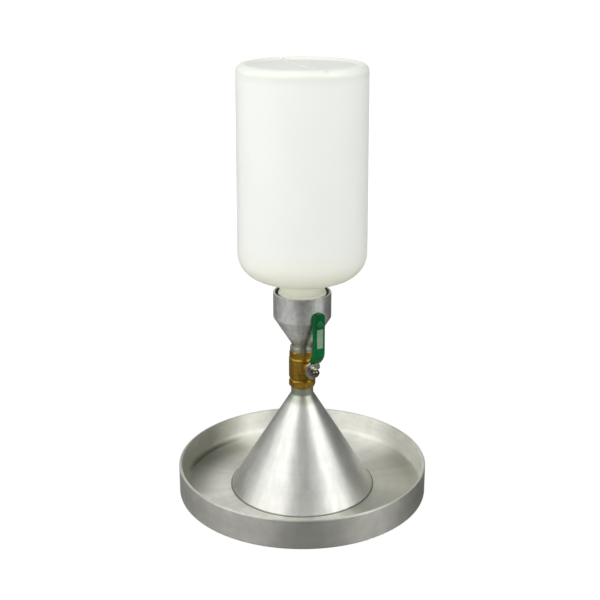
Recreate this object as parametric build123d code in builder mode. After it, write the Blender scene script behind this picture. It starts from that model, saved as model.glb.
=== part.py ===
from build123d import *
import os
from math import asin, cos, degrees, radians, sin, sqrt, tan

# Sand cone apparatus: a round tray with a hole in its floor, a sheet-metal cone that stands
# in the hole, a two-piece ball valve with a lever, a threaded cup and an inverted bottle.
# Millimetres, +Z up, origin at the centre of the tray's underside. The valve's stem and
# lever face -Y, and the lever is open, so it stands along the bottle's axis.

# Tray
tray_radius = 150.0
tray_height = 36.0
tray_wall = 3.5
tray_floor = 4.5
tray_inner_fillet = 8.0
tray_outer_fillet = 2.5
tray_lip_fillet = 0.9
hole_radius = 82.55
seat_depth = 2.0
seat_clearance = 0.4

# Cone
cone_wall = 3.45
cone_rim_height = 3.0
cone_height = 119.3
cone_neck_wall = 6.95
cone_neck_length = 9.1
cone_neck_fillet = 3.0
bore_radius = 6.35

# Threaded joints, cut plain: a spigot in a port, with the threads' play
spigot_wall = 3.95
spigot_chamfer = 0.8
port_play = 0.1
port_end_gap = 0.4
lower_port_depth = 12.1
upper_port_depth = 8.9

# Ball and seats
ball_wall = 3.55
ball_slot_width = 4.2
ball_slot_web = 1.15
seat_ball_gap = 0.05
seat_contact_width = 1.5
seat_thickness = 3.4
seat_bore_play = 0.15
seat_pocket_play = 0.05

# Valve body and end cap
cavity_gap = 1.3
barrel_wall = 4.6
barrel_chamfer = 1.6
lower_web = 4.45
cap_web = 1.25
cap_flange_height = 7.8
cap_flange_inset = 1.6
cap_nose_wall = 1.95
cap_thread_play = 0.05
octagon_inset = 1.05
octagon_height = 10.0
octagon_chamfer = 0.7
octagon_bevel = 1.2
cap_chamfer = 0.8
groove_height = 0.9
groove_depth = 2.2
boss_wall = 2.45
boss_chamfer = 0.6

# Stem and what surrounds it, as distances out along the stem from the valve's centre line
stem_radius = 4.0
stem_play = 0.06
tang_play = 0.15
tang_length = 8.6
tang_end_gap = 0.1
collar_width = 1.4
collar_play = 0.15
collar_ball_gap = 0.2
collar_thickness = 1.6
washer_gap = 0.05
thrust_washer_thickness = 0.7
stem_web = 2.2
packing_length = 2.6
packing_width = 1.64
packing_play = 0.05
gland_thread_length = 4.1
gland_hex_flats = 12.0
gland_hex_height = 2.5
gland_tab_gap = 0.3
stem_flats = 6.2
stem_flat_step = 0.2
thread_play = 0.05
stem_thread_end = 0.6

# Lever: a bent steel strip with a round tab on the stem, and its moulded sleeve
lever_thickness = 2.0
tab_overlap = 0.6
tab_tail_gap = 0.3
strip_width = 10.0
lever_bend_height = 9.8
lever_cup_gap = 0.6
lever_offset_height = 13.5
lever_length = 74.5
lever_bend_radius = 5.0
lever_upper_bend_radius = 14.0
tab_side_inset = 0.6
tab_side_height = 8.5
tab_shoulder = 4.5
sleeve_side = 2.3
sleeve_face = 2.2
sleeve_play = 0.05
sleeve_tip = 1.8
sleeve_corner = 6.0
sleeve_start = 5.4
sleeve_edge = 2.2
panel_margin = 1.0
panel_height = 23.5
panel_depth = 0.4
panel_bottom = 34.2
lever_travel = 90.0
stop_hex_gap = 0.27
stop_post_radius = 1.4
stop_angle = 280.0
stop_clearance = 0.05
lever_washer_radius = 5.6
lever_washer_thickness = 1.0
nut_flats = 10.0
nut_height = 4.5
nut_chamfer = 0.5

# Cup
cup_boss_inset = 0.35
cup_boss_height = 5.3
cup_boss_chamfer = 0.7
cup_neck_wall = 6.05
cup_neck_length = 3.0
cup_cone_height = 34.3
cup_wall = 5.6
cup_collar_height = 30.2
cup_edge_fillet = 0.7
cup_bend_fillet = 3.0
cup_mouth_wall = 2.8
cup_mouth_depth = 5.5
thread_height = 2.0
thread_depth = 12.5

# Gasket and bottle
gasket_thickness = 2.0
gasket_play = 0.3
bottle_neck_radius = 26.4
bottle_neck_wall = 3.0
bottle_neck_length = 30.0
bottle_neck_fillet = 4.0
neck_bead = 1.8
neck_bead_rise = 4.0
shoulder_angle = 12.0
shoulder_radius = 30.0
bottle_lower_radius = 74.75
bottle_upper_radius = 72.9
bottle_height = 277.0
heel_radius = 8.3
bottle_wall = 2.0
base_wall = 2.4
heel_land = 1.1
recess_depth = 3.5
recess_fillet = 2.0
notch_width = 7.0
notch_depth = 3.3
notch_angle = 9.0
weld_width = 1.4
weld_height = 0.9

# Radii about the object's axis
cone_neck_radius = bore_radius + cone_neck_wall
cone_rim_radius = hole_radius + cone_wall
seat_radius = cone_rim_radius + seat_clearance
cone_slope = (cone_rim_radius - cone_neck_radius) / cone_height
spigot_radius = bore_radius + spigot_wall
port_radius = spigot_radius + port_play
ball_radius = bore_radius + ball_wall
seat_bore_radius = bore_radius + seat_bore_play
seat_contact_radius = seat_bore_radius + seat_contact_width
seat_pocket_radius = ball_radius + seat_pocket_play
cap_thread_radius = seat_pocket_radius + cap_nose_wall
cavity_radius = ball_radius + cavity_gap
barrel_radius = cavity_radius + barrel_wall
octagon_radius = barrel_radius - octagon_inset
cap_flange_radius = barrel_radius - cap_flange_inset
cup_neck_radius = bore_radius + cup_neck_wall
cup_boss_radius = octagon_radius - cup_boss_inset
neck_bore_radius = bottle_neck_radius - bottle_neck_wall
thread_bore_radius = bottle_neck_radius + thread_height
cup_radius = thread_bore_radius + cup_wall
cup_slope = (cup_radius - cup_neck_radius) / cup_cone_height
recess_radius = bottle_upper_radius - heel_radius - heel_land - recess_depth

# Heights up the object's axis
seat_z = tray_floor - seat_depth
cone_rim_top = seat_z + cone_rim_height
cone_throat_z = cone_rim_top + (hole_radius - bore_radius) / cone_slope
cone_top = cone_rim_top + cone_height
valve_bottom = cone_top + cone_neck_length
barrel_bottom = valve_bottom + octagon_height + groove_height
seat_face = sqrt((ball_radius + seat_ball_gap) ** 2 - seat_contact_radius**2)
lower_seat_z = valve_bottom + lower_port_depth + lower_web
stem_z = lower_seat_z + seat_thickness + seat_face
cap_nose_z = stem_z + seat_face
upper_seat_z = cap_nose_z + seat_thickness
valve_top = upper_seat_z + cap_web + upper_port_depth
body_top = valve_top - cap_flange_height
cup_boss_top = valve_top + cup_boss_height
cup_cone_z = cup_boss_top + cup_neck_length
cup_inner_cone_top = cup_cone_z + (neck_bore_radius - bore_radius) / cup_slope
cup_collar_z = cup_cone_z + cup_cone_height
cup_rim = cup_collar_z + cup_collar_height
shelf_z = cup_rim - cup_mouth_depth - thread_depth
mouth_z = shelf_z + gasket_thickness
shoulder_z = mouth_z + bottle_neck_length
neck_bead_z = cup_rim - cup_mouth_depth + neck_bead_rise
bottle_top = mouth_z + bottle_height

# Reaches out along the stem, each piece where the one before it ends
slot_floor = bore_radius + ball_slot_web
collar_start = ball_radius + collar_ball_gap
collar_end = collar_start + collar_thickness
thrust_washer_start = collar_end + washer_gap
thrust_washer_end = thrust_washer_start + thrust_washer_thickness
web_start = thrust_washer_end + washer_gap
web_end = web_start + stem_web
packing_start = web_end + washer_gap
gland_start = packing_start + packing_length + washer_gap
boss_reach = gland_start + gland_thread_length
gland_end = boss_reach + gland_hex_height
tab_start = gland_end + gland_tab_gap
tab_end = tab_start + lever_thickness
lever_washer_end = tab_end + lever_washer_thickness
nut_end = lever_washer_end + nut_height
stem_end = nut_end + stem_thread_end

# Radii about the stem's axis
collar_radius = stem_radius + collar_width
packing_radius = stem_radius + stem_play + packing_width
packing_bore_radius = packing_radius + packing_play
boss_radius = packing_bore_radius + boss_wall
thread_radius = stem_flats / 2 - stem_flat_step
stop_circle_radius = gland_hex_flats / 2 / cos(radians(30)) + stop_hex_gap + stop_post_radius
tab_radius = stop_circle_radius + tab_overlap
tab_tail_radius = stop_circle_radius - stop_post_radius - tab_tail_gap

# The sector cut out of the tab starts just past the stop post, and is as wide as the
# lever's travel and the post
stop_half_angle = degrees(asin((stop_post_radius + stop_clearance) / stop_circle_radius))
tail_first_angle = radians(stop_angle - stop_half_angle)
tail_last_angle = radians(stop_angle + lever_travel + stop_half_angle)
tail_reach = 3 * tab_radius

# The strip's middle line, seen from the side: up from the tab, out past the cup, up again
sleeve_width = strip_width + 2 * sleeve_side
sleeve_depth = lever_thickness + 2 * sleeve_face
strip_y = -(tab_start + lever_thickness / 2)
offset_y = -(cup_radius + lever_cup_gap + sleeve_depth / 2)
bend_z = stem_z + lever_bend_height
straight_z = bend_z + lever_offset_height
lever_top = stem_z + lever_length
sleeve_top = lever_top + sleeve_tip
sleeve_bottom_z = bend_z + sleeve_start
sleeve_bottom_y = strip_y + (offset_y - strip_y) * sleeve_start / lever_offset_height
panel_width = sleeve_width - 2 * sleeve_edge - 2 * panel_margin

# A plane square to the stem at a distance out from the centre line: its x is the row's X,
# its y is the row's Z, and a positive extrusion goes further out, along -Y.
def stem_plane(reach):
    return Plane(origin=(0, -reach, stem_z), x_dir=(1, 0, 0), z_dir=(0, -1, 0))


stem_axis = Axis((0, 0, stem_z), (0, -1, 0))


# Tray: a turned floor and wall, with the hole and the recess that centres the cone
with BuildPart() as base_tray:
    with BuildSketch(Plane.XZ):
        with BuildLine():
            FilletPolyline(
                (hole_radius, 0),
                (tray_radius, 0),
                (tray_radius, tray_height),
                (tray_radius - tray_wall, tray_height),
                (tray_radius - tray_wall, tray_floor),
                (seat_radius, tray_floor),
                (seat_radius, seat_z),
                (hole_radius, seat_z),
                radius=[0, tray_outer_fillet, tray_lip_fillet, tray_lip_fillet, tray_inner_fillet, 0, 0, 0],
                close=True,
            )
        make_face()
    revolve(axis=Axis.Z)
base_tray.part.label = "base_tray"

# Cone: a thin spun wall with a short upright rim, a solid neck and the spigot that screws
# into the valve
with BuildPart() as sand_cone:
    with BuildSketch(Plane.XZ):
        with BuildLine():
            FilletPolyline(
                (hole_radius, seat_z),
                (cone_rim_radius, seat_z),
                (cone_rim_radius, cone_rim_top),
                (cone_neck_radius, cone_top),
                (cone_neck_radius, valve_bottom),
                (spigot_radius, valve_bottom),
                (spigot_radius, valve_bottom + lower_port_depth - port_end_gap),
                (bore_radius, valve_bottom + lower_port_depth - port_end_gap),
                (bore_radius, cone_throat_z),
                (hole_radius, cone_rim_top),
                radius=[0, 0, 0.6, cone_neck_fillet, 0.5, 0, spigot_chamfer, 0, 0, 0],
                close=True,
            )
        make_face()
    revolve(axis=Axis.Z)
sand_cone.part.label = "sand_cone"

# Valve body: an octagonal lower end with a bevelled top, a barrel with bevelled shoulders,
# a boss for the stem and the post that stops the lever. Inside are the port, the seat's
# pocket, the ball's cavity and the thread for the end cap.
with BuildPart() as valve_body:
    with BuildSketch(Plane.XY.offset(valve_bottom)):
        RegularPolygon(octagon_radius, 8, major_radius=False, rotation=22.5)
    extrude(amount=octagon_height)
    with BuildSketch(Plane.XZ):
        with BuildLine():
            Polyline(
                (0, valve_bottom),
                (octagon_radius - octagon_chamfer, valve_bottom),
                (octagon_radius + 2 * octagon_bevel, valve_bottom + 2 * octagon_bevel + octagon_chamfer),
                (octagon_radius + 2 * octagon_bevel, valve_bottom + octagon_height - 3 * octagon_bevel),
                (octagon_radius - octagon_bevel, valve_bottom + octagon_height),
                (0, valve_bottom + octagon_height),
                close=True,
            )
        make_face()
    revolve(axis=Axis.Z, mode=Mode.INTERSECT)
    with BuildSketch(Plane.XZ):
        with BuildLine():
            Polyline(
                (0, valve_bottom + octagon_height),
                (barrel_radius - groove_depth, valve_bottom + octagon_height),
                (barrel_radius - groove_depth, barrel_bottom),
                (barrel_radius, barrel_bottom + barrel_chamfer),
                (barrel_radius, body_top - barrel_chamfer),
                (barrel_radius - barrel_chamfer, body_top),
                (0, body_top),
                close=True,
            )
        make_face()
    revolve(axis=Axis.Z)
    with BuildSketch(stem_plane(cavity_radius)):
        Circle(boss_radius)
    extrude(amount=boss_reach - cavity_radius)
    boss_face = valve_body.faces().filter_by(Axis.Y).sort_by(Axis.Y)[0]
    chamfer(boss_face.edges().filter_by(GeomType.CIRCLE), boss_chamfer)
    with BuildSketch(stem_plane(cavity_radius + barrel_wall / 2)):
        with PolarLocations(stop_circle_radius, 1, start_angle=stop_angle):
            Circle(stop_post_radius)
    extrude(amount=tab_end + stop_clearance - cavity_radius - barrel_wall / 2)
    with BuildSketch(Plane.XZ):
        with BuildLine():
            Polyline(
                (0, valve_bottom),
                (port_radius, valve_bottom),
                (port_radius, valve_bottom + lower_port_depth),
                (bore_radius, valve_bottom + lower_port_depth),
                (bore_radius, lower_seat_z),
                (seat_pocket_radius, lower_seat_z),
                (seat_pocket_radius, lower_seat_z + seat_thickness),
                (cavity_radius, lower_seat_z + seat_thickness),
                (cavity_radius, cap_nose_z - seat_pocket_play),
                (cap_thread_radius + cap_thread_play, cap_nose_z - seat_pocket_play),
                (cap_thread_radius + cap_thread_play, body_top),
                (0, body_top),
                close=True,
            )
        make_face()
    revolve(axis=Axis.Z, mode=Mode.SUBTRACT)
    with BuildSketch(stem_plane(0)):
        Circle(collar_radius + collar_play)
    extrude(amount=web_start, mode=Mode.SUBTRACT)
    with BuildSketch(stem_plane(0)):
        Circle(stem_radius + stem_play)
    extrude(amount=boss_reach, mode=Mode.SUBTRACT)
    with BuildSketch(stem_plane(web_end)):
        Circle(packing_bore_radius)
    extrude(amount=boss_reach - web_end, mode=Mode.SUBTRACT)
valve_body.part.label = "valve_body"

# End cap: the octagonal upper end, whose threaded nose holds the upper seat
with BuildPart() as valve_end_cap:
    with BuildSketch(Plane.XY.offset(body_top)):
        RegularPolygon(cap_flange_radius, 8, major_radius=False, rotation=22.5)
    extrude(amount=cap_flange_height)
    with BuildSketch(Plane.XZ):
        with BuildLine():
            Polyline(
                (0, body_top),
                (cap_flange_radius + 2 * cap_chamfer, body_top),
                (cap_flange_radius + 2 * cap_chamfer, valve_top - 2 * cap_chamfer),
                (cap_flange_radius, valve_top),
                (0, valve_top),
                close=True,
            )
        make_face()
    revolve(axis=Axis.Z, mode=Mode.INTERSECT)
    with BuildSketch(Plane.XY.offset(cap_nose_z)):
        Circle(cap_thread_radius)
    extrude(amount=body_top - cap_nose_z)
    with BuildSketch(Plane.XZ):
        with BuildLine():
            Polyline(
                (0, cap_nose_z),
                (seat_pocket_radius, cap_nose_z),
                (seat_pocket_radius, upper_seat_z),
                (bore_radius, upper_seat_z),
                (bore_radius, upper_seat_z + cap_web),
                (port_radius, upper_seat_z + cap_web),
                (port_radius, valve_top),
                (0, valve_top),
                close=True,
            )
        make_face()
    revolve(axis=Axis.Z, mode=Mode.SUBTRACT)
valve_end_cap.part.label = "valve_end_cap"

# Ball: bored through, with the slot that the stem's tang turns
with BuildPart() as valve_ball:
    with Locations((0, 0, stem_z)):
        Sphere(ball_radius)
    with BuildSketch(Plane.XY.offset(stem_z - ball_radius)):
        Circle(bore_radius)
    extrude(amount=2 * ball_radius, mode=Mode.SUBTRACT)
    with BuildSketch(stem_plane(slot_floor)):
        Rectangle(2 * ball_radius, ball_slot_width)
    extrude(amount=ball_radius, mode=Mode.SUBTRACT)
valve_ball.part.label = "valve_ball"


# A seat is one turned ring with a hollow face for the ball. The upper one is its mirror.
def seat_ring(outward):
    with BuildPart() as ring:
        with BuildSketch(Plane.XZ):
            with BuildLine():
                Polyline(
                    (seat_bore_radius, stem_z + outward * seat_face),
                    (ball_radius, stem_z + outward * seat_face),
                    (ball_radius, stem_z + outward * (seat_face + seat_thickness)),
                    (seat_bore_radius, stem_z + outward * (seat_face + seat_thickness)),
                    close=True,
                )
            make_face()
        revolve(axis=Axis.Z)
        with Locations((0, 0, stem_z)):
            Sphere(ball_radius + seat_ball_gap, mode=Mode.SUBTRACT)
    return ring.part


ball_seat_lower = seat_ring(-1)
ball_seat_lower.label = "ball_seat_lower"
ball_seat_upper = seat_ring(1)
ball_seat_upper.label = "ball_seat_upper"

# Stem: the tang in the ball's slot, the collar that keeps it from blowing out, the shank,
# the two flats that carry the lever and the threaded end
with BuildPart() as valve_stem:
    with BuildSketch(stem_plane(slot_floor + tang_end_gap)):
        Rectangle(tang_length, ball_slot_width - 2 * tang_play)
    extrude(amount=collar_start - slot_floor - tang_end_gap)
    with BuildSketch(stem_plane(collar_start)):
        Circle(collar_radius)
    extrude(amount=collar_thickness)
    with BuildSketch(stem_plane(collar_end)):
        Circle(stem_radius)
    extrude(amount=tab_start - collar_end)
    with BuildSketch(stem_plane(tab_start)):
        Circle(stem_radius)
        Rectangle(2 * stem_radius, stem_flats, mode=Mode.INTERSECT)
    extrude(amount=lever_thickness - stop_clearance)
    with BuildSketch(stem_plane(tab_start)):
        Circle(thread_radius)
    extrude(amount=stem_end - tab_start)
    end_face = valve_stem.faces().filter_by(Axis.Y).sort_by(Axis.Y)[0]
    chamfer(end_face.edges(), stem_thread_end / 2)
valve_stem.part.label = "valve_stem"


# A flat ring around the stem
def stem_ring(start, length, inner, outer):
    with BuildPart() as ring:
        with BuildSketch(stem_plane(start)):
            Circle(outer)
            Circle(inner, mode=Mode.SUBTRACT)
        extrude(amount=length)
    return ring.part


stem_thrust_washer = stem_ring(
    thrust_washer_start, thrust_washer_thickness, stem_radius + stem_play, collar_radius
)
stem_thrust_washer.label = "stem_thrust_washer"
stem_packing = stem_ring(packing_start, packing_length, stem_radius + stem_play, packing_radius)
stem_packing.label = "stem_packing"
lever_washer = stem_ring(
    tab_end, lever_washer_thickness, thread_radius + thread_play, lever_washer_radius
)
lever_washer.label = "lever_washer"

# Gland nut: a threaded sleeve with a thin hexagon, which presses on the packing
with BuildPart() as gland_nut:
    with BuildSketch(stem_plane(gland_start)):
        Circle(packing_radius)
    extrude(amount=boss_reach - gland_start)
    with BuildSketch(stem_plane(boss_reach)):
        RegularPolygon(gland_hex_flats / 2, 6, major_radius=False)
    extrude(amount=gland_hex_height)
    with BuildSketch(stem_plane(gland_start)):
        Circle(stem_radius + stem_play)
    extrude(amount=gland_end - gland_start, mode=Mode.SUBTRACT)
gland_nut.part.label = "gland_nut"

# Lever nut: a hexagon with its corners turned off
with BuildPart() as lever_nut:
    with BuildSketch(stem_plane(lever_washer_end)):
        RegularPolygon(nut_flats / 2, 6, major_radius=False)
    extrude(amount=nut_height)
    with BuildSketch(Plane.YZ):
        with BuildLine():
            Polyline(
                (-lever_washer_end, stem_z),
                (-lever_washer_end, stem_z + nut_flats / 2 + nut_chamfer),
                (-nut_end + nut_chamfer, stem_z + nut_flats / 2 + nut_chamfer),
                (-nut_end, stem_z + nut_flats / 2 - nut_chamfer / 2),
                (-nut_end, stem_z),
                close=True,
            )
        make_face()
    revolve(axis=stem_axis, mode=Mode.INTERSECT)
    with BuildSketch(stem_plane(lever_washer_end)):
        Circle(thread_radius + thread_play)
    extrude(amount=nut_height, mode=Mode.SUBTRACT)
lever_nut.part.label = "lever_nut"

# Lever: the bent strip, cut to its outline from the front: a round tab with straight sides
# above it, and a cut-out below between the two edges that meet the stop post.
with BuildPart() as valve_lever:
    with BuildSketch(Plane.YZ):
        with BuildLine() as strip_line:
            FilletPolyline(
                (strip_y, stem_z - tab_radius),
                (strip_y, bend_z),
                (offset_y, straight_z),
                (offset_y, lever_top),
                radius=[lever_bend_radius, lever_upper_bend_radius],
            )
        trace(strip_line.line, line_width=lever_thickness)
    extrude(amount=tab_radius, both=True)
    with BuildSketch(stem_plane(0)):
        Circle(tab_radius)
        with BuildLine():
            Polyline(
                (-tab_radius, 0),
                (tab_side_inset - tab_radius, tab_side_height),
                (-strip_width / 2, tab_side_height + tab_shoulder),
                (strip_width / 2, tab_side_height + tab_shoulder),
                (tab_radius - tab_side_inset, tab_side_height),
                (tab_radius, 0),
                close=True,
            )
        make_face()
        with BuildLine():
            Polyline(
                (0, 0),
                (tail_reach * cos(tail_first_angle), tail_reach * sin(tail_first_angle)),
                (tail_reach * cos(tail_last_angle), tail_reach * sin(tail_last_angle)),
                close=True,
            )
        make_face(mode=Mode.SUBTRACT)
        Circle(tab_tail_radius)
        with Locations((0, lever_length / 2)):
            Rectangle(strip_width, lever_length)
    extrude(amount=-2 * offset_y, mode=Mode.INTERSECT)
    with BuildSketch(stem_plane(0)):
        Circle(stem_radius + stop_clearance)
        Rectangle(2 * tab_radius, stem_flats + 2 * stop_clearance, mode=Mode.INTERSECT)
    extrude(amount=tab_end, mode=Mode.SUBTRACT)
valve_lever.part.label = "valve_lever"

# Sleeve: a soft moulding around the strip, with a shallow bare panel on its front
with BuildPart() as lever_grip:
    with BuildLine(Plane.YZ) as grip_line:
        FilletPolyline(
            (sleeve_bottom_y, sleeve_bottom_z),
            (offset_y, straight_z),
            (offset_y, sleeve_top),
            radius=lever_upper_bend_radius,
        )
    with BuildSketch(Plane(grip_line.line @ 0, x_dir=(1, 0, 0), z_dir=grip_line.line % 0)):
        RectangleRounded(sleeve_width, sleeve_depth, sleeve_edge)
    sweep(path=grip_line.line)
    with BuildSketch(stem_plane(0)):
        Rectangle(sleeve_width, 2 * (sleeve_top - stem_z))
        fillet(vertices().sort_by(Axis.Y)[-2:], sleeve_corner)
    extrude(amount=-2 * offset_y, mode=Mode.INTERSECT)
    with BuildLine(Plane.YZ) as strip_inside:
        FilletPolyline(
            (sleeve_bottom_y, sleeve_bottom_z),
            (offset_y, straight_z),
            (offset_y, lever_top + sleeve_play),
            radius=lever_upper_bend_radius,
        )
    with BuildSketch(Plane(strip_inside.line @ 0, x_dir=(1, 0, 0), z_dir=strip_inside.line % 0)):
        Rectangle(strip_width + 2 * sleeve_play, lever_thickness + 2 * sleeve_play)
    sweep(path=strip_inside.line, mode=Mode.SUBTRACT)
    with BuildSketch(stem_plane(sleeve_depth / 2 - offset_y)):
        with Locations((0, panel_bottom + panel_height / 2)):
            Rectangle(panel_width, panel_height)
    extrude(amount=-panel_depth, mode=Mode.SUBTRACT)
lever_grip.part.label = "lever_grip"

# Cup: the boss and spigot that screw into the end cap, a funnel, and a collar threaded for
# the bottle's neck, with a wider mouth above the thread
with BuildPart() as bottle_cup:
    with BuildSketch(Plane.XZ):
        with BuildLine():
            FilletPolyline(
                (bore_radius, valve_top - upper_port_depth + port_end_gap),
                (spigot_radius, valve_top - upper_port_depth + port_end_gap),
                (spigot_radius, valve_top),
                (cup_boss_radius, valve_top),
                (cup_boss_radius, cup_boss_top),
                (cup_neck_radius, cup_boss_top),
                (cup_neck_radius, cup_cone_z),
                (cup_radius, cup_collar_z),
                (cup_radius, cup_rim),
                (cup_radius - cup_mouth_wall, cup_rim),
                (cup_radius - cup_mouth_wall, cup_rim - cup_mouth_depth),
                (thread_bore_radius, cup_rim - cup_mouth_depth),
                (thread_bore_radius, shelf_z),
                (neck_bore_radius, shelf_z),
                (neck_bore_radius, cup_inner_cone_top),
                (bore_radius, cup_cone_z),
                radius=[
                    0,
                    spigot_chamfer / 2,
                    0,
                    cup_boss_chamfer,
                    cup_boss_chamfer,
                    cup_boss_chamfer,
                    cup_neck_length / 2,
                    cup_bend_fillet,
                    cup_edge_fillet,
                    cup_edge_fillet,
                    0,
                    0,
                    0,
                    0,
                    cup_bend_fillet,
                    cup_bend_fillet,
                ],
                close=True,
            )
        make_face()
    revolve(axis=Axis.Z)
bottle_cup.part.label = "bottle_cup"

# Gasket: a flat rubber ring on the shelf under the bottle's mouth
with BuildPart() as neck_gasket:
    with BuildSketch(Plane.XY.offset(shelf_z)):
        Circle(thread_bore_radius - gasket_play)
        Circle(neck_bore_radius, mode=Mode.SUBTRACT)
    extrude(amount=gasket_thickness)
neck_gasket.part.label = "neck_gasket"

# Bottle: blow moulded, mouth down. The wall follows the outside at an even thickness, a
# bead rings the neck where it stands in the cup's mouth, the base is dished inside its
# heel, and the mould's pinched seam crosses it: a raised weld in the dish and a notch in
# the heel at each end.
shoulder_slope = tan(radians(shoulder_angle))
shoulder_wall = bottle_wall / cos(radians(shoulder_angle))
outer_corner_z = shoulder_z + (bottle_lower_radius - bottle_neck_radius) * shoulder_slope
body_inner_radius = bottle_lower_radius - bottle_wall
inner_neck_z = shoulder_z + shoulder_wall - (bottle_neck_radius - neck_bore_radius) * shoulder_slope
inner_corner_z = inner_neck_z + (body_inner_radius - neck_bore_radius) * shoulder_slope
dish_z = bottle_top - recess_depth
base_z = dish_z - base_wall
seam_plane = Plane.XY.rotated((0, 0, -notch_angle))
with BuildPart() as sand_bottle:
    with BuildSketch(Plane.XZ):
        with BuildLine():
            FilletPolyline(
                (neck_bore_radius, mouth_z),
                (bottle_neck_radius, mouth_z),
                (bottle_neck_radius, shoulder_z),
                (bottle_lower_radius, outer_corner_z),
                (bottle_upper_radius, bottle_top),
                (recess_radius + recess_depth, bottle_top),
                (recess_radius, dish_z),
                (0, dish_z),
                (0, base_z),
                (bottle_upper_radius - bottle_wall, base_z),
                (body_inner_radius, inner_corner_z),
                (neck_bore_radius, inner_neck_z),
                radius=[
                    0,
                    0,
                    bottle_neck_fillet,
                    shoulder_radius,
                    heel_radius,
                    recess_fillet,
                    recess_fillet,
                    0,
                    0,
                    heel_radius - bottle_wall,
                    shoulder_radius - bottle_wall,
                    bottle_neck_fillet,
                ],
                close=True,
            )
        make_face()
        with Locations((bottle_neck_radius, neck_bead_z)):
            Circle(neck_bead)
    revolve(axis=Axis.Z)
    with BuildSketch(Plane(origin=(0, 0, bottle_top), x_dir=seam_plane.x_dir, z_dir=seam_plane.y_dir)):
        with BuildLine():
            Polyline(
                (-notch_width / 2, 0),
                (0, notch_depth),
                (notch_width / 2, 0),
                close=True,
            )
        make_face()
    extrude(amount=bottle_lower_radius, both=True, mode=Mode.SUBTRACT)
    with BuildSketch(seam_plane.offset(dish_z)):
        Circle(recess_radius - recess_fillet)
        Rectangle(weld_width, 2 * recess_radius, mode=Mode.INTERSECT)
    extrude(amount=weld_height)
sand_bottle.part.label = "sand_bottle"

pieces = [
    base_tray.part,
    sand_cone.part,
    valve_body.part,
    valve_end_cap.part,
    valve_ball.part,
    ball_seat_lower,
    ball_seat_upper,
    valve_stem.part,
    stem_thrust_washer,
    stem_packing,
    gland_nut.part,
    valve_lever.part,
    lever_grip.part,
    lever_washer,
    lever_nut.part,
    bottle_cup.part,
    neck_gasket.part,
    sand_bottle.part,
]
os.makedirs("parts", exist_ok=True)
for piece in pieces:
    export_step(piece, f"parts/{piece.label}.step")
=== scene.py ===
import math

import bmesh
import bpy
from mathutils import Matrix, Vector


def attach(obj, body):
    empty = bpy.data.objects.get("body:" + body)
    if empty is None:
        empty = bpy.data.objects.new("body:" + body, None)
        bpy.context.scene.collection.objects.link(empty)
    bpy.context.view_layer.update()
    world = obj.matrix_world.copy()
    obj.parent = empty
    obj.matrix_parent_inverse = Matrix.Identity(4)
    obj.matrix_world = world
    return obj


# The sand cone apparatus as photographed: turned tray, spun cone, brass valve with a green
# lever, cast cup and milky bottle, on a white ground. Metres throughout.

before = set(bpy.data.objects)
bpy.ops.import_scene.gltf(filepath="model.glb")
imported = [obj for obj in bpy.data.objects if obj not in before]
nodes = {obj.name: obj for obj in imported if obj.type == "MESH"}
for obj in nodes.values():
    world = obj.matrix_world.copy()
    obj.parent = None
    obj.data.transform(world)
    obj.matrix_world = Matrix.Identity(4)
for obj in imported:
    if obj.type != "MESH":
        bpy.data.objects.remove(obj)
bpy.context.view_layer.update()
MM = 0.001


def link_object(name, data):
    made = bpy.data.objects.new(name, data)
    bpy.context.scene.collection.objects.link(made)
    return made


def mesh_from(name, shape):
    mesh = bpy.data.meshes.new(name)
    shape.to_mesh(mesh)
    shape.free()
    return mesh


# Camera
camera_distance = 1.200
camera_height = 0.6511
camera_azimuth = math.radians(-30.0)
camera_pitch = math.radians(18.86)
camera_yaw = math.radians(0.126)
camera_lens = 65.28
camera_sensor = 36.0
camera_reach = 200.0


def place_camera():
    data = bpy.data.cameras.new("camera")
    data.lens = camera_lens
    data.sensor_width = camera_sensor
    data.clip_end = camera_reach
    camera = link_object("camera", data)
    camera.location = (
        camera_distance * math.sin(camera_azimuth),
        -camera_distance * math.cos(camera_azimuth),
        camera_height,
    )
    camera.rotation_euler = (math.pi / 2 - camera_pitch, 0.0, camera_azimuth + camera_yaw)
    bpy.context.scene.camera = camera


# Shader building

white = (1.0, 1.0, 1.0, 1.0)
noise_low = 0.3
noise_high = 0.7


def new_material(name):
    material = bpy.data.materials.new(name)
    material.use_nodes = True
    material.node_tree.nodes.clear()
    return material


def add(material, kind, inputs=None, **settings):
    """A shader node with its settings, and its inputs set to values or linked to sockets.
    Also takes a world in place of a material."""
    node = material.node_tree.nodes.new("ShaderNode" + kind)
    for key, value in settings.items():
        setattr(node, key, value)
    for key, value in (inputs or {}).items():
        if isinstance(value, bpy.types.NodeSocket):
            material.node_tree.links.new(value, node.inputs[key])
        else:
            node.inputs[key].default_value = value
    return node


def finish_material(material, shader):
    output = add(material, "OutputMaterial", {"Surface": shader.outputs[0]})
    output.is_active_output = True
    return material


def ramp(material, value, stops):
    """A colour ramp over value, with (position, grey or colour) stops."""
    node = add(material, "ValToRGB", {"Fac": value})
    elements = node.color_ramp.elements
    while len(elements) < len(stops):
        elements.new(0.5)
    for element, (position, tone) in zip(elements, stops):
        element.position = position
        colour = (tone, tone, tone) if isinstance(tone, (int, float)) else tone
        element.color = (*colour, 1.0)
    return node.outputs["Color"]


def place_coordinates(material):
    return add(material, "TexCoord").outputs["Object"]


def noise(material, where, scale, detail=3.0, roughness=0.5):
    node = add(material, "TexNoise", {
        "Vector": where, "Scale": scale, "Detail": detail, "Roughness": roughness,
    })
    return node.outputs["Fac"]


def math_node(material, operation, first, second=0.0):
    node = add(material, "Math", {0: first, 1: second}, operation=operation)
    return node.outputs[0]


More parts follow.
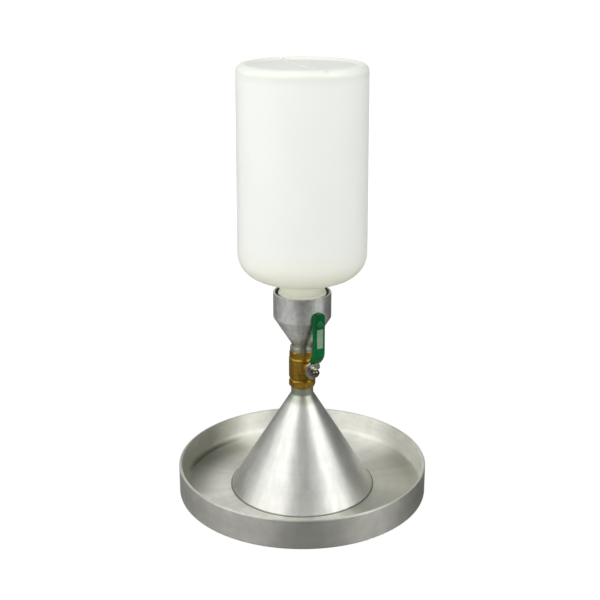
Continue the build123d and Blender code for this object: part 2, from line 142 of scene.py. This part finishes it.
def product(material, first, *others):
    for other in others:
        first = math_node(material, "MULTIPLY", first, other)
    return first


def vector_node(material, operation, first, second):
    return add(material, "VectorMath", {0: first, 1: second}, operation=operation).outputs


def height_of(material, where):
    return add(material, "SeparateXYZ", {"Vector": where}).outputs["Z"]


def radius_about_z(material, where):
    flat = vector_node(material, "MULTIPLY", where, (1.0, 1.0, 0.0))[0]
    return add(material, "VectorMath", {0: flat}, operation="LENGTH").outputs["Value"]


def lathe_coordinate(material, where, z_sign):
    """Distance along a turned surface: the radius about Z, plus or minus the height."""
    height = product(material, height_of(material, where), z_sign)
    return math_node(material, "ADD", radius_about_z(material, where), height)


def lathe_marks(material, along, scale, detail=2.0):
    node = add(material, "TexNoise", {"W": along, "Scale": scale, "Detail": detail},
               noise_dimensions="1D")
    return node.outputs["Fac"]


def bump(material, height, distance, strength=1.0, normal=None):
    inputs = {"Height": height, "Distance": distance, "Strength": strength}
    if normal is not None:
        inputs["Normal"] = normal
    return add(material, "Bump", inputs).outputs["Normal"]


def mix_colour(material, factor, first, second, blend="MIX"):
    node = add(material, "Mix", data_type="RGBA", blend_type=blend)
    factor_in, first_in, second_in, result = (
        node.inputs[0], node.inputs[6], node.inputs[7], node.outputs[2])
    for socket, value in ((factor_in, factor), (first_in, first), (second_in, second)):
        if isinstance(value, bpy.types.NodeSocket):
            material.node_tree.links.new(value, socket)
        elif isinstance(value, (int, float)):
            socket.default_value = value
        else:
            socket.default_value = (*value, 1.0)
    return result


def smooth_step(material, value, start, end):
    return add(material, "MapRange", {"Value": value, "From Min": start, "From Max": end},
               interpolation_type="SMOOTHSTEP").outputs[0]


def roughness_from(material, value, rough):
    """Roughness from rough[0] to rough[1] over the middle range of a noise."""
    return add(material, "MapRange", {
        "Value": value, "From Min": noise_low, "From Max": noise_high,
        "To Min": rough[0], "To Max": rough[1],
    }).outputs[0]


def toned(material, colour, share, tone):
    """Colour multiplied by tone where share is one."""
    multiplied = mix_colour(material, 1.0, colour, tone, "MULTIPLY")
    return mix_colour(material, share, colour, multiplied)


def tone_by_height(material, where, colour, plain, full, tone):
    """Colour multiplied by tone, from not at all at one height to fully at another."""
    return toned(material, colour, smooth_step(material, height_of(material, where), plain, full),
                 tone)


def sector(material, where, radius, direction, start, end):
    """The share of a place by the cosine between it and a direction from the axis, from none
    at start to all at end."""
    along = vector_node(material, "DOT_PRODUCT", where, direction)["Value"]
    return smooth_step(material, math_node(material, "DIVIDE", along, radius), start, end)


# Metals

# The tray's inside: where wall meets floor, and how far the painted shade there fades out
corner_radius = 139.5 * MM
corner_fade = 3.0 * MM
corner_height = 10.5 * MM
corner_drop = 5.0 * MM
# Painted shade in the inner corner, deepest in one sector at the back left, and painted dark
# reflections in a sector of the back-left wall and of the front-right floor
corner_shade_colour = (0.16, 0.16, 0.13)
corner_shade_least = 0.04
dark_reflection_corner_gain = 0.72
corner_shade_patch_scale = 30.0
dark_reflection_corner_sector = ((-0.454, 0.892, 0.0), 0.90, 0.998)
dark_reflection_wall_sector = ((-0.643, 0.766, 0.0), 0.74, 0.90)
dark_reflection_wall_radii = (100.0 * MM, 130.0 * MM)
dark_reflection_wall_tone = (0.60, 0.605, 0.56)
dark_reflection_floor_sector = ((0.707, -0.707, 0.0), 0.55, 0.85)
dark_reflection_floor_tone = (0.66, 0.67, 0.62)

# Painted shade: the dark line in the gap round the cone's rim
seam_radius = 86.4 * MM
seam_width = 1.3 * MM
seam_fade = 0.3
seam_edge = 0.2 * MM
seam_shade_tone = (0.42, 0.42, 0.38)

# Turned and spun metal
metal_grain_scale = 2200.0
fleck_scale = 190.0
streak_scale = 7.0
streak_stretch = (1.0, 1.0, 0.12)
streak_height = 0.02
wide_ring_share = 12
skin_edge = 0.4 * MM
bore_edge = 0.5 * MM
bore_step = 1.0 * MM
wall_lean = 0.26

# Plated steel
plate_cloud_scale = 180.0
plate_rough_scale = 600.0
plate_grain_scale = 1500.0
plate_grain_depth = 0.01 * MM


def tray_painted_shade(material, where, radius, inside, colour):
    """Painted shade where the tray's wall meets its floor, deepest in one sector, painted dark
    reflections in two sectors of wall and floor, and painted shade in the gap round the cone's
    rim."""
    outward = smooth_step(material, radius, corner_radius, corner_radius + corner_fade)
    low = smooth_step(material, height_of(material, where), corner_height,
                      corner_height - corner_drop)
    dark_reflection_corner = sector(material, where, radius, *dark_reflection_corner_sector)
    patches = ramp(material, noise(material, where, corner_shade_patch_scale, 5.0, 0.65),
                   ((0.35, 0.6), (0.65, 1.0)))
    strength = math_node(material, "ADD", corner_shade_least, product(material, dark_reflection_corner, dark_reflection_corner_gain))
    depth = product(material, patches, strength)
    colour = mix_colour(material, product(material, outward, low, depth, inside), colour,
                        corner_shade_colour)
    dark_reflection_wall = product(material, sector(material, where, radius, *dark_reflection_wall_sector), inside,
                        smooth_step(material, radius, *dark_reflection_wall_radii))
    colour = toned(material, colour, dark_reflection_wall, dark_reflection_wall_tone)
    dark_reflection_floor = product(material, sector(material, where, radius, *dark_reflection_floor_sector), inside,
                         low)
    colour = toned(material, colour, dark_reflection_floor, dark_reflection_floor_tone)
    # Painted shade in the gap round the cone's rim
    outer = seam_radius + seam_width
    seam_shade = product(
        material, smooth_step(material, radius, outer + seam_width * seam_fade, outer),
        smooth_step(material, radius, seam_radius - seam_edge, seam_radius))
    return toned(material, colour, seam_shade, seam_shade_tone)


def radial_streaks(material, where, radius, tone):
    """Soft streaks running out from the axis, as a factor from tone to one."""
    stretched = vector_node(material, "MULTIPLY", where, streak_stretch)[0]
    reach = add(material, "CombineXYZ", {"X": radius, "Y": radius, "Z": streak_height})
    turn = vector_node(material, "DIVIDE", stretched, reach.outputs[0])[0]
    return ramp(material, noise(material, turn, streak_scale, 5.0, 0.6),
                ((0.36, tone), (0.62, 1.0)))


def turned_metal(name, dark, light, rough, z_sign, anisotropic=0.5, metallic=1.0,
                 ring_scale=900.0, ring_depth=0.015 * MM, blotch_scale=40.0,
                 grain_depth=0.009 * MM, skin_radius=None, skin_tone=0.6, height_tone=None, bore_shade=None,
                 marks=None, streaks=0.92):
    """Lathe-turned or spun metal: fine rings about Z, soft tone changes and fine grain.
    Beyond skin_radius the metal is left as rolled, darker by skin_tone and without the soft
    scatter of the turned inside, and within it the tray's painted shade is added. The height_tone
    is (plain height, full height, tone), toning the colour from one height to the other;
    bore_shade is (radius, lowest height, tone), painted shade inside a bore; marks is the tone of
    small dark marks and streaks that of the radial streaks."""
    material = new_material(name)
    where = place_coordinates(material)
    along = lathe_coordinate(material, where, z_sign)
    rings = lathe_marks(material, along, ring_scale)
    wide_rings = lathe_marks(material, along, ring_scale / wide_ring_share, 1.0)
    blotches = noise(material, where, blotch_scale, 4.0, 0.6)
    grain = noise(material, where, metal_grain_scale, 2.0)
    tone = mix_colour(material, 0.35, blotches, wide_rings)
    colour = ramp(material, tone, ((0.3, dark), (0.7, light)))
    radius = radius_about_z(material, where)
    if marks:
        flecks = ramp(material, noise(material, where, fleck_scale, 6.0, 0.72),
                      ((0.50, 1.0), (0.66, marks)))
        colour = mix_colour(material, 1.0, colour, flecks, "MULTIPLY")
    streak = radial_streaks(material, where, radius, streaks)
    colour = mix_colour(material, 1.0, colour, streak, "MULTIPLY")
    # Painted shade inside the bore
    if bore_shade:
        bore_radius, bore_height, bore_shade_tone = bore_shade
        within = smooth_step(material, radius, bore_radius, bore_radius - bore_edge)
        above = smooth_step(material, height_of(material, where), bore_height - bore_step,
                            bore_height)
        colour = toned(material, colour, product(material, within, above), bore_shade_tone)
    normal = bump(material, rings, ring_depth)
    normal = bump(material, grain, grain_depth, normal=normal)
    if height_tone:
        colour = tone_by_height(material, where, colour, *height_tone)
    if skin_radius:
        beyond = smooth_step(material, radius, skin_radius - skin_edge, skin_radius)
        colour = toned(material, colour, beyond, (skin_tone, skin_tone, skin_tone))
        metallic = add(material, "MapRange", {
            "Value": beyond, "To Min": metallic, "To Max": 1.0,
        }).outputs[0]
        inside = math_node(material, "SUBTRACT", 1.0, beyond)
        lean = product(material, height_of(material, where), inside, -1.0)
        normal = bump(material, lean, wall_lean, normal=normal)
        # Painted shade and painted dark reflections on the tray's inside
        colour = tray_painted_shade(material, where, radius, inside, colour)
    shader = add(material, "BsdfPrincipled", {
        "Base Color": colour, "Metallic": metallic, "Normal": normal,
        "Roughness": roughness_from(material, mix_colour(material, 0.4, blotches, rings), rough),
        "Anisotropic": anisotropic, "Anisotropic Rotation": 0.25,
        "Tangent": add(material, "Tangent", direction_type="RADIAL", axis="Z").outputs[0],
    })
    return finish_material(material, shader)


def plated_steel(name, dark, light, rough):
    """Plated or polished steel: soft clouds and a very fine grain."""
    material = new_material(name)
    where = place_coordinates(material)
    cloud = noise(material, where, plate_cloud_scale, 4.0, 0.6)
    grain = noise(material, where, plate_grain_scale, 2.0)
    shader = add(material, "BsdfPrincipled", {
        "Base Color": ramp(material, cloud, ((0.35, dark), (0.65, light))),
        "Metallic": 1.0,
        "Roughness": roughness_from(material, noise(material, where, plate_rough_scale), rough),
        "Normal": bump(material, grain, plate_grain_depth),
    })
    return finish_material(material, shader)


# Plastics and rubber

moulded_rough_scale = 300.0


def moulded(name, dark, light, rough, grain_scale, grain_depth, cloud_scale=60.0, specular=0.5,
            subsurface=0.0, radius=(4.0 * MM, 4.0 * MM, 4.0 * MM), shaded_ends=()):
    """Moulded plastic or rubber; each shaded end is (plain height, full height, tone), a painted
    tint or shade toward one end.
    """
    material = new_material(name)
    where = place_coordinates(material)
    cloud = noise(material, where, cloud_scale)
    colour = ramp(material, cloud, ((0.35, dark), (0.65, light)))
    for end in shaded_ends:
        colour = tone_by_height(material, where, colour, *end)
    shader = add(material, "BsdfPrincipled", {
        "Base Color": colour,
        "Roughness": roughness_from(material, noise(material, where, moulded_rough_scale), rough),
        "Specular IOR Level": specular,
        "Subsurface Weight": subsurface, "Subsurface Radius": radius, "Subsurface Scale": 1.0,
        "Normal": bump(material, noise(material, where, grain_scale), grain_depth),
    })
    return finish_material(material, shader)


tray_metal = turned_metal(
    "tray_metal", (0.88, 0.875, 0.80), (0.99, 0.985, 0.92), (0.46, 0.54), 1.0,
    anisotropic=0.88, metallic=0.92, skin_radius=148.2 * MM, skin_tone=0.86, marks=0.955,
    streaks=0.90)
# The cone is darker and greener towards the top of its neck
cone_metal = turned_metal(
    "cone_metal", (0.78, 0.78, 0.74), (0.88, 0.88, 0.84), (0.40, 0.48), -1.0,
    anisotropic=0.65, metallic=0.97, height_tone=(112.0 * MM, 120.0 * MM, (0.62, 0.66, 0.56)),
    marks=0.97, streaks=0.88)
# The cup carries a painted reflection of the brass and grip, darker and browner towards its
# bottom, and painted shade inside its mouth
cup_metal = turned_metal(
    "cup_metal", (0.74, 0.75, 0.74), (0.97, 0.98, 0.96), (0.48, 0.58), 1.0,
    anisotropic=0.88, ring_scale=500.0, blotch_scale=130.0,
    height_tone=(203.0 * MM, 190.0 * MM, (0.56, 0.55, 0.45)),
    bore_shade=(32.2 * MM, 222.0 * MM, (0.30, 0.31, 0.20)), marks=0.80, streaks=0.86)
brass = turned_metal(
    "brass", (0.28, 0.165, 0.02), (0.62, 0.38, 0.06), (0.36, 0.48), 1.0,
    anisotropic=0.72, ring_scale=400.0, blotch_scale=260.0, grain_depth=0.04 * MM)
dark_nut = plated_steel("dark_nut", (0.20, 0.185, 0.13), (0.36, 0.34, 0.27), (0.16, 0.26))
chrome = plated_steel("chrome", (0.75, 0.75, 0.76), (0.80, 0.80, 0.81), (0.05, 0.09))
zinc = plated_steel("zinc", (0.62, 0.64, 0.60), (0.78, 0.79, 0.76), (0.20, 0.32))
polished = plated_steel("polished", (0.17, 0.155, 0.11), (0.20, 0.18, 0.13), (0.06, 0.10))
ptfe = moulded(
    "ptfe", (0.86, 0.86, 0.84), (0.92, 0.92, 0.90), (0.40, 0.50), 900.0, 0.02 * MM)
rubber = moulded(
    "rubber", (0.02, 0.02, 0.02), (0.04, 0.04, 0.04), (0.60, 0.75), 900.0, 0.04 * MM)
vinyl = moulded(
    "vinyl", (0.0, 0.075, 0.018), (0.001, 0.125, 0.036), (0.24, 0.34), 1200.0, 0.03 * MM,
    specular=0.15)
# The bottle's neck and shoulder carry a painted warm tint for light through the plastic, and its
# top a painted shade where the lamps fall strongest
milk = moulded(
    "milk", (0.90, 0.92, 0.87), (0.92, 0.94, 0.90), (0.38, 0.46), 500.0, 0.01 * MM,
    cloud_scale=14.0, subsurface=0.35, radius=(12.0 * MM, 12.0 * MM, 11.0 * MM),
    shaded_ends=((335.0 * MM, 262.0 * MM, (1.0, 0.99, 0.86)),
                (494.0 * MM, 509.0 * MM, (0.86, 0.865, 0.82))))
pale_plate = moulded(
    "pale_plate", (0.17, 0.25, 0.18), (0.23, 0.32, 0.24), (0.40, 0.50), 900.0, 0.03 * MM,
    specular=0.3)
badge_green = moulded(
    "badge_green", (0.015, 0.11, 0.045), (0.03, 0.15, 0.07), (0.34, 0.44), 900.0, 0.03 * MM,
    specular=0.3)


def dress(material, *names):
    for name in names:
        nodes[name].data.materials.clear()
        nodes[name].data.materials.append(material)


dress(tray_metal, "base_tray")
dress(cone_metal, "sand_cone")
dress(cup_metal, "bottle_cup")
dress(brass, "valve_body", "valve_end_cap", "gland_nut")
dress(chrome, "valve_ball")
dress(zinc, "valve_stem", "valve_lever", "lever_washer")
dress(dark_nut, "lever_nut")
dress(ptfe, "ball_seat_lower", "ball_seat_upper", "stem_thrust_washer", "stem_packing")
dress(rubber, "neck_gasket")
dress(vinyl, "lever_grip")
dress(milk, "sand_bottle")


# Small pieces

def piece(name, shape, material, body, smooth=True):
    """A mesh object from a bmesh, riding a body and belonging to a material slot."""
    bmesh.ops.recalc_face_normals(shape, faces=shape.faces)
    mesh = mesh_from(name, shape)
    for face in mesh.polygons:
        face.use_smooth = smooth
    mesh.materials.append(material)
    made = link_object(name, mesh)
    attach(made, body)
    return made


def skin(shape, rings):
    """Faces between rows of points, each row a closed loop, and over both ends."""
    rows = [[shape.verts.new(point) for point in ring] for ring in rings]
    for first, second in zip(rows, rows[1:]):
        count = len(first)
        for i in range(count):
            shape.faces.new((first[i], first[(i + 1) % count], second[(i + 1) % count], second[i]))
    shape.faces.new(list(reversed(rows[0])))
    shape.faces.new(rows[-1])


# Threads of the bottle's neck and of the cup, half a pitch apart
thread_pitch = 6.0 * MM
thread_foot = 1.3 * MM
thread_top = 0.7 * MM
thread_steps = 96
thread_run_out = 0.12
thread_least_rise = 0.04
thread_zero = 238.5 * MM


def thread_ridge(name, root, crest, first_turn, last_turn, zero_z, material, body):
    """A right-handed thread ridge about Z, run out to nothing at both ends."""
    shape = bmesh.new()
    steps = round((last_turn - first_turn) * thread_steps)
    rings = []
    for i in range(steps + 1):
        turn = first_turn + (last_turn - first_turn) * i / steps
        rise = min(1.0, (turn - first_turn) / thread_run_out, (last_turn - turn) / thread_run_out)
        top = root + (crest - root) * max(rise, thread_least_rise)
        middle = zero_z + thread_pitch * turn
        angle = 2 * math.pi * turn
        rings.append([
            (radius * math.cos(angle), radius * math.sin(angle), middle + offset)
            for radius, offset in ((root, -thread_foot), (top, -thread_top), (top, thread_top),
                                   (root, thread_foot))
        ])
    skin(shape, rings)
    return piece(name, shape, material, body, smooth=False)


def lathe_y(name, profile, centre_z, material, body, segments=48):
    """A turned piece about the line along Y at height centre_z, from (radius, y) points."""
    shape = bmesh.new()
    turns = [2 * math.pi * i / segments for i in range(segments)]
    skin(shape, [
        [(radius * math.cos(turn), y, centre_z + radius * math.sin(turn)) for turn in turns]
        for radius, y in profile
    ])
    return piece(name, shape, material, body)


corner_steps = 6


def plate_y(name, width, height, corner, centre_z, back_y, front_y, edge, material, body):
    """A thin upright plate facing -Y, with round corners and a bevelled front edge."""
    shape = bmesh.new()

    def outline(inset, y):
        points = []
        for quarter, (side, lift) in enumerate(((1, 1), (-1, 1), (-1, -1), (1, -1))):
            for i in range(corner_steps + 1):
                angle = math.pi / 2 * (quarter + i / corner_steps)
                points.append((
                    side * (width / 2 - corner) + (corner - inset) * math.cos(angle), y,
                    centre_z + lift * (height / 2 - corner) + (corner - inset) * math.sin(angle),
                ))
        return points

    skin(shape, [outline(0.0, back_y), outline(0.0, front_y + edge), outline(edge, front_y)])
    return piece(name, shape, material, body, smooth=False)


thread_ridge("bottle_thread", 26.3 * MM, 28.15 * MM, 0.0, 1.4, thread_zero, milk, "bottle")
thread_ridge("cup_thread", 28.5 * MM, 26.9 * MM, -0.45, 0.55, thread_zero + thread_pitch / 2,
             cup_metal, "cone_assembly")

# The lever's nut has a domed end over the stem's tip
stem_height = 159.766 * MM
dome_radius = 4.4 * MM
dome_base = -30.9 * MM
dome_skirt = 0.4 * MM
dome_flatness = 0.9
dome_steps = 14
dome = [(dome_radius, dome_base + dome_skirt)]
for step in range(dome_steps):
    lean = math.pi / 2 * step / dome_steps
    dome.append((dome_radius * math.cos(lean),
                 dome_base - dome_flatness * dome_radius * math.sin(lean)))
lathe_y("nut_dome", dome, stem_height, polished, "lever")

# The grip's bare plate and its plain round badge
plate_width = 8.0 * MM
plate_height = 23.3 * MM
plate_corner = 0.8 * MM
plate_rise = 45.95 * MM
plate_back = -40.62 * MM
plate_front = -40.92 * MM
plate_edge = 0.1 * MM
plate_y("grip_plate", plate_width, plate_height, plate_corner, stem_height + plate_rise,
        plate_back, plate_front, plate_edge, pale_plate, "lever")

badge_y = -41.0 * MM
badge_rise = 64.3 * MM
badge_profile = ((3.9, 0.2), (3.9, -0.1), (3.75, -0.25), (3.35, -0.25), (3.2, -0.1),
                 (2.7, -0.1), (2.55, -0.25), (0.3, -0.25))
lathe_y("grip_badge", [(radius * MM, badge_y + y * MM) for radius, y in badge_profile],
        stem_height + badge_rise, badge_green, "lever")


# Floor, world and lights

floor_radius = 40.0
floor_drop = 0.2 * MM
floor_colour = (0.75, 0.74, 0.68, 1.0)
floor_gloss = 0.05
floor_gloss_share = 0.8
floor_glow = 1.08
shadow_radii = (0.45, 0.9)
shadow_glow_share = 0.86
world_colour = (0.96, 0.98, 1.0, 1.0)
world_fill = 0.36
world_gloss = 0.15
light_target = Vector((0.0, 0.0, 0.15))


def make_floor():
    """A floor that glows white to the camera, a little less near the object so that its
    shadow shows, matt to soft light and grey in reflections."""
    shape = bmesh.new()
    bmesh.ops.create_circle(shape, cap_ends=True, segments=96, radius=floor_radius)
    mesh = mesh_from("floor", shape)
    floor = link_object("floor", mesh)
    floor.location.z = -floor_drop
    material = new_material("floor")
    where = place_coordinates(material)
    distance = add(material, "VectorMath", {0: where}, operation="LENGTH").outputs["Value"]
    far = add(material, "MapRange", {
        "Value": distance, "From Min": shadow_radii[0], "From Max": shadow_radii[1],
        "To Min": shadow_glow_share, "To Max": 1.0,
    }).outputs[0]
    rays = add(material, "LightPath").outputs
    seen = math_node(material, "MAXIMUM", rays["Is Camera Ray"], rays["Is Transmission Ray"])
    glossy_share = product(material, rays["Is Glossy Ray"], floor_gloss_share)
    matt = add(material, "BsdfDiffuse", {"Color": floor_colour})
    grey = add(material, "Emission", {"Color": white, "Strength": floor_gloss})
    glow = add(material, "Emission", {"Color": white, "Strength": floor_glow})
    mixed = add(material, "MixShader", {0: glossy_share, 1: matt.outputs[0], 2: grey.outputs[0]})
    mixed = add(material, "MixShader", {
        0: product(material, seen, far), 1: mixed.outputs[0], 2: glow.outputs[0],
    })
    mesh.materials.append(finish_material(material, mixed))


def make_world():
    """White to the camera, a soft fill for the surfaces and a dimmer one in reflections."""
    world = bpy.data.worlds.new("studio")
    bpy.context.scene.world = world
    world.use_nodes = True
    world.node_tree.nodes.clear()
    rays = add(world, "LightPath").outputs
    seen = math_node(world, "MAXIMUM", rays["Is Camera Ray"], rays["Is Transmission Ray"])
    fill = add(world, "Background", {"Color": world_colour, "Strength": world_fill})
    dim = add(world, "Background", {"Color": world_colour, "Strength": world_gloss})
    plain = add(world, "Background", {"Color": white})
    mixed = add(world, "MixShader", {
        0: rays["Is Glossy Ray"], 1: fill.outputs[0], 2: dim.outputs[0],
    })
    mixed = add(world, "MixShader", {0: seen, 1: mixed.outputs[0], 2: plain.outputs[0]})
    add(world, "OutputWorld", {"Surface": mixed.outputs[0]})


def place_round(thing, azimuth, elevation, distance, facing):
    """Put a lamp or card round the object, azimuth degrees from the camera's side, with its
    facing axis toward the light target."""
    turn = camera_azimuth + math.radians(azimuth)
    rise = math.radians(elevation)
    thing.location = light_target + Vector((
        distance * math.cos(rise) * math.sin(turn),
        -distance * math.cos(rise) * math.cos(turn),
        distance * math.sin(rise),
    ))
    thing.rotation_euler = (light_target - thing.location).to_track_quat(facing, "Y").to_euler()


def softbox(name, azimuth, elevation, distance, width, height, power, glossy=True):
    """A soft lamp that the camera doesn't see, and reflections only where glossy."""
    data = bpy.data.lights.new(name, "AREA")
    data.shape = "RECTANGLE"
    data.size = width
    data.size_y = height
    data.energy = power
    lamp = link_object(name, data)
    place_round(lamp, azimuth, elevation, distance, "-Z")
    lamp.visible_camera = False
    lamp.visible_glossy = glossy


def card(name, azimuth, elevation, distance, width, height, glow):
    """A glowing card that only reflections see."""
    shape = bmesh.new()
    bmesh.ops.create_grid(shape, x_segments=1, y_segments=1, size=0.5)
    mesh = mesh_from(name, shape)
    board = link_object(name, mesh)
    board.scale = (width, height, 1.0)
    place_round(board, azimuth, elevation, distance, "Z")
    material = new_material(name)
    shader = add(material, "Emission", {"Color": white, "Strength": glow})
    mesh.materials.append(finish_material(material, shader))
    board.visible_camera = False
    board.visible_diffuse = False
    board.visible_shadow = False
    board.visible_transmission = False


place_camera()
make_floor()
make_world()
softbox("key_left", -64.0, 40.0, 1.6, 2.0, 1.4, 18.0)
softbox("key_right", 67.0, 40.0, 1.6, 1.35, 1.4, 13.5)
softbox("top", 0.0, 88.0, 1.8, 0.8, 0.8, 1.0)
softbox("front_fill", -15.0, 12.0, 2.4, 1.6, 1.6, 14.0, glossy=False)
card("back_card", 188.0, 24.0, 2.4, 2.4, 1.1, 1.0)
card("left_card", -116.0, 16.0, 2.0, 1.4, 0.9, 0.7)
card("front_card", 4.0, 50.0, 1.8, 1.3, 0.9, 0.85)

bpy.context.scene.view_settings.view_transform = "Standard"
